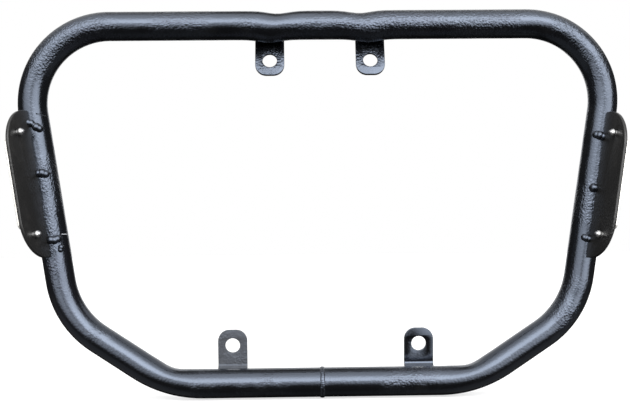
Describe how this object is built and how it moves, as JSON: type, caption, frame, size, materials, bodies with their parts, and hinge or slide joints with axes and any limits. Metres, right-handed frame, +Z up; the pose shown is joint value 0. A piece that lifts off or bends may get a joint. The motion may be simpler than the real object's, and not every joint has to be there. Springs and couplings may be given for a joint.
{
  "type": "motorcycle crash bar",
  "caption": "Closed ring of bent round tube for a motorcycle's front, with inward bolt-on tabs and a riveted badge plate standing forward on each side bar.",
  "frame": {"origin": "middle of the ring, on the plane of the tube's centreline at half its height, where mount bolted_tabs is", "axes": "+X to the right seen from the front, along the top bar; +Z up, from the bottom bar to the top bar; -Y is the front, which the side plates point to; +Y is the vehicle's side, which the tabs step back to"},
  "size_m": [0.526, 0.0743, 0.339],
  "materials": {
    "black_paint": "semi-gloss black powder coat with a fine hammered texture",
    "badge_steel": "satin sheet steel",
    "rivet_aluminium": "plain drawn aluminium",
    "mandrel_steel": "plain steel wire, broken end"
  },
  "bodies": {
    "root": {"ring_tube": "black_paint", "seam_weld": "black_paint", "left_side_plate": "black_paint", "left_badge": "badge_steel", "left_top_rivet": "rivet_aluminium", "left_top_mandrel": "mandrel_steel", "left_bottom_rivet": "rivet_aluminium", "left_bottom_mandrel": "mandrel_steel", "left_inner_top_bead": "black_paint", "left_inner_middle_bead": "black_paint", "left_inner_bottom_bead": "black_paint", "left_outer_top_bead": "black_paint", "left_outer_middle_bead": "black_paint", "left_outer_bottom_bead": "black_paint", "right_side_plate": "black_paint", "right_badge": "badge_steel", "right_top_rivet": "rivet_aluminium", "right_top_mandrel": "mandrel_steel", "right_bottom_rivet": "rivet_aluminium", "right_bottom_mandrel": "mandrel_steel", "right_inner_top_bead": "black_paint", "right_inner_middle_bead": "black_paint", "right_inner_bottom_bead": "black_paint", "right_outer_top_bead": "black_paint", "right_outer_middle_bead": "black_paint", "right_outer_bottom_bead": "black_paint", "upper_left_tab": "black_paint", "upper_left_tab_back_bead": "black_paint", "upper_left_tab_inner_bead": "black_paint", "upper_right_tab": "black_paint", "upper_right_tab_back_bead": "black_paint", "upper_right_tab_inner_bead": "black_paint", "lower_left_tab": "black_paint", "lower_left_tab_back_bead": "black_paint", "lower_left_tab_inner_bead": "black_paint", "lower_right_tab": "black_paint", "lower_right_tab_back_bead": "black_paint", "lower_right_tab_inner_bead": "black_paint"}
  },
  "joints": []
}
